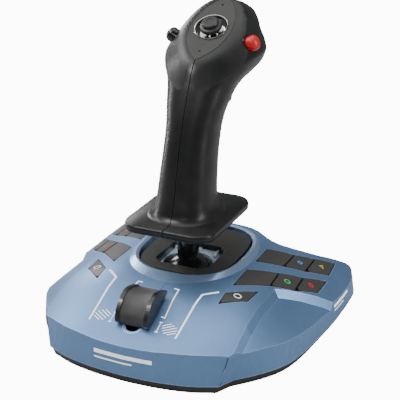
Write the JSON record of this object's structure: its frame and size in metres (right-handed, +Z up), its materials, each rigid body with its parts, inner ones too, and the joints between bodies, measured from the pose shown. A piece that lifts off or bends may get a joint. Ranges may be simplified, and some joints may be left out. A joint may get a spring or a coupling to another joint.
{
  "type": "flight joystick",
  "caption": "Desktop flight stick: domed base with key rows and a throttle slider, sprung two-axis gimbal, and a twisting grip with hat, trigger and side buttons.",
  "frame": {"origin": "on the table, under the centre of the base", "axes": "+Z up, -Y towards the user, +X to the user's right"},
  "size_m": [0.2372, 0.2152, 0.252],
  "materials": {
    "shell_blue": "metallic blue paint, satin",
    "tray_black": "moulded, fine grain",
    "steel": "bright zinc plate",
    "foot_rubber": "matt",
    "plate_grey": "satin, warm dark grey",
    "light_guide": "frosted, pale blue",
    "board_green": "solder mask",
    "mat_silicone": "silicone",
    "gloss_black": "polished",
    "stem_plastic": "glass-filled nylon",
    "bearing_plastic": "acetal",
    "grip_black": "satin, soft touch",
    "slider_grey": "matt, fine grain",
    "button_red": "polished red",
    "key_grey": "satin, warm grey"
  },
  "bodies": {
    "root": {"base_top_shell": "shell_blue", "well_ring": "shell_blue", "base_bottom_tray": "tray_black", "ballast_plates": "steel", "rubber_feet": "foot_rubber", "base_screws": "steel", "well_plate": "plate_grey", "light_guide": "light_guide", "gimbal_housing": "tray_black", "main_board": "board_green", "cable_gland": "tray_black", "centring_spring": "steel", "button_board_left": "board_green", "button_board_right": "board_green", "button_mat_left": "mat_silicone", "button_mat_right": "mat_silicone", "throttle_bracket": "tray_black", "throttle_rails": "steel", "throttle_sensor": "steel"},
    "gimbal": {"gimbal_ring": "steel", "roll_pins": "steel"},
    "stem": {"dome_cap": "gloss_black", "stem_yoke": "stem_plastic", "stem_shaft": "gloss_black", "pitch_axle": "steel", "centring_disc": "steel"},
    "grip": {"grip_half_left": "grip_black", "grip_half_right": "grip_black", "twist_bushes": "bearing_plastic", "hat_plate": "plate_grey", "hat_dish": "gloss_black", "grip_screws": "steel", "grip_board": "board_green", "button_collar_left": "gloss_black", "button_collar_right": "gloss_black", "trigger_pin": "steel", "trigger_spring": "steel", "trigger_switch": "tray_black"},
    "hat_carrier": {"hat_gimbal": "steel"},
    "hat": {"hat_cap": "grip_black"},
    "trigger": {"trigger_lever": "grip_black"},
    "red": {"red_button": "button_red"},
    "black": {"black_button": "gloss_black"},
    "throttle": {"throttle_carriage": "tray_black", "throttle_saddle": "slider_grey", "throttle_cheeks": "gloss_black"},
    "key_left_small": {"key_left_small": "key_grey"},
    "key_left_lower_wide": {"key_left_lower_wide": "key_grey"},
    "key_left_lower_mid": {"key_left_lower_mid": "key_grey"},
    "key_left_lower_outer": {"key_left_lower_outer": "key_grey"},
    "key_left_upper_wide": {"key_left_upper_wide": "key_grey"},
    "key_left_upper_mid": {"key_left_upper_mid": "key_grey"},
    "key_left_upper_outer": {"key_left_upper_outer": "key_grey"},
    "key_right_small": {"key_right_small": "key_grey"},
    "key_right_lower_wide": {"key_right_lower_wide": "key_grey"},
    "key_right_lower_mid": {"key_right_lower_mid": "key_grey"},
    "key_right_lower_outer": {"key_right_lower_outer": "key_grey"},
    "key_right_upper_wide": {"key_right_upper_wide": "key_grey"},
    "key_right_upper_mid": {"key_right_upper_mid": "key_grey"},
    "key_right_upper_outer": {"key_right_upper_outer": "key_grey"}
  },
  "joints": [
    {"name": "stick_roll", "type": "hinge", "parent": "root", "child": "gimbal", "pos_m": [0, 0.0085, 0.034], "axis": [0, 1, 0], "range_deg": [-16, 16], "stiffness_Nm_per_rad": 1.6},
    {"name": "stick_pitch", "type": "hinge", "parent": "gimbal", "child": "stem", "pos_m": [0, 0.0085, 0.034], "axis": [1, 0, 0], "range_deg": [-16, 16], "stiffness_Nm_per_rad": 1.6, "deforming": ["centring_spring"]},
    {"name": "grip_twist", "type": "hinge", "parent": "stem", "child": "grip", "pos_m": [0, 0.0085, 0.034], "axis": [0, 0, 1], "range_deg": [-20, 20], "stiffness_Nm_per_rad": 0.4},
    {"name": "hat_pitch", "type": "hinge", "parent": "grip", "child": "hat_carrier", "pos_m": [0, 0.05819, 0.22653], "axis": [1, 0, 0], "range_deg": [-8, 8], "stiffness_Nm_per_rad": 0.05},
    {"name": "hat_roll", "type": "hinge", "parent": "hat_carrier", "child": "hat", "pos_m": [0, 0.05819, 0.22653], "axis": [0, 0.8572, 0.515], "range_deg": [-8, 8], "stiffness_Nm_per_rad": 0.05},
    {"name": "trigger_pull", "type": "hinge", "parent": "grip", "child": "trigger", "pos_m": [0, 0.064, 0.197], "axis": [1, 0, 0], "range_deg": [-8, 0], "stiffness_Nm_per_rad": 0.4, "deforming": ["trigger_spring"]},
    {"name": "red_press", "type": "slide", "parent": "grip", "child": "red", "axis": [-0.8434, 0.0887, -0.5299], "range_m": [0, 0.0015], "stiffness_N_per_m": 600},
    {"name": "black_press", "type": "slide", "parent": "grip", "child": "black", "axis": [0.8434, 0.0887, -0.5299], "range_m": [0, 0.0015], "stiffness_N_per_m": 600},
    {"name": "throttle_slide", "type": "slide", "parent": "root", "child": "throttle", "axis": [0, 0.9336, 0.3584], "range_m": [-0.01, 0.01]},
    {"name": "key_left_small_press", "type": "slide", "parent": "root", "child": "key_left_small", "axis": [0.2384, 0.1767, -0.955], "range_m": [0, 0.0008], "stiffness_N_per_m": 600},
    {"name": "key_left_lower_wide_press", "type": "slide", "parent": "root", "child": "key_left_lower_wide", "axis": [0.3746, 0, -0.9272], "range_m": [0, 0.0008], "stiffness_N_per_m": 600},
    {"name": "key_left_lower_mid_press", "type": "slide", "parent": "root", "child": "key_left_lower_mid", "axis": [0.3746, 0, -0.9272], "range_m": [0, 0.0008], "stiffness_N_per_m": 600},
    {"name": "key_left_lower_outer_press", "type": "slide", "parent": "root", "child": "key_left_lower_outer", "axis": [0.3746, 0, -0.9272], "range_m": [0, 0.0008], "stiffness_N_per_m": 600},
    {"name": "key_left_upper_wide_press", "type": "slide", "parent": "root", "child": "key_left_upper_wide", "axis": [0.3746, 0, -0.9272], "range_m": [0, 0.0008], "stiffness_N_per_m": 600},
    {"name": "key_left_upper_mid_press", "type": "slide", "parent": "root", "child": "key_left_upper_mid", "axis": [0.3746, 0, -0.9272], "range_m": [0, 0.0008], "stiffness_N_per_m": 600},
    {"name": "key_left_upper_outer_press", "type": "slide", "parent": "root", "child": "key_left_upper_outer", "axis": [0.3746, 0, -0.9272], "range_m": [0, 0.0008], "stiffness_N_per_m": 600},
    {"name": "key_right_small_press", "type": "slide", "parent": "root", "child": "key_right_small", "axis": [-0.2384, 0.1767, -0.955], "range_m": [0, 0.0008], "stiffness_N_per_m": 600},
    {"name": "key_right_lower_wide_press", "type": "slide", "parent": "root", "child": "key_right_lower_wide", "axis": [-0.3746, 0, -0.9272], "range_m": [0, 0.0008], "stiffness_N_per_m": 600},
    {"name": "key_right_lower_mid_press", "type": "slide", "parent": "root", "child": "key_right_lower_mid", "axis": [-0.3746, 0, -0.9272], "range_m": [0, 0.0008], "stiffness_N_per_m": 600},
    {"name": "key_right_lower_outer_press", "type": "slide", "parent": "root", "child": "key_right_lower_outer", "axis": [-0.3746, 0, -0.9272], "range_m": [0, 0.0008], "stiffness_N_per_m": 600},
    {"name": "key_right_upper_wide_press", "type": "slide", "parent": "root", "child": "key_right_upper_wide", "axis": [-0.3746, 0, -0.9272], "range_m": [0, 0.0008], "stiffness_N_per_m": 600},
    {"name": "key_right_upper_mid_press", "type": "slide", "parent": "root", "child": "key_right_upper_mid", "axis": [-0.3746, 0, -0.9272], "range_m": [0, 0.0008], "stiffness_N_per_m": 600},
    {"name": "key_right_upper_outer_press", "type": "slide", "parent": "root", "child": "key_right_upper_outer", "axis": [-0.3746, 0, -0.9272], "range_m": [0, 0.0008], "stiffness_N_per_m": 600}
  ]
}
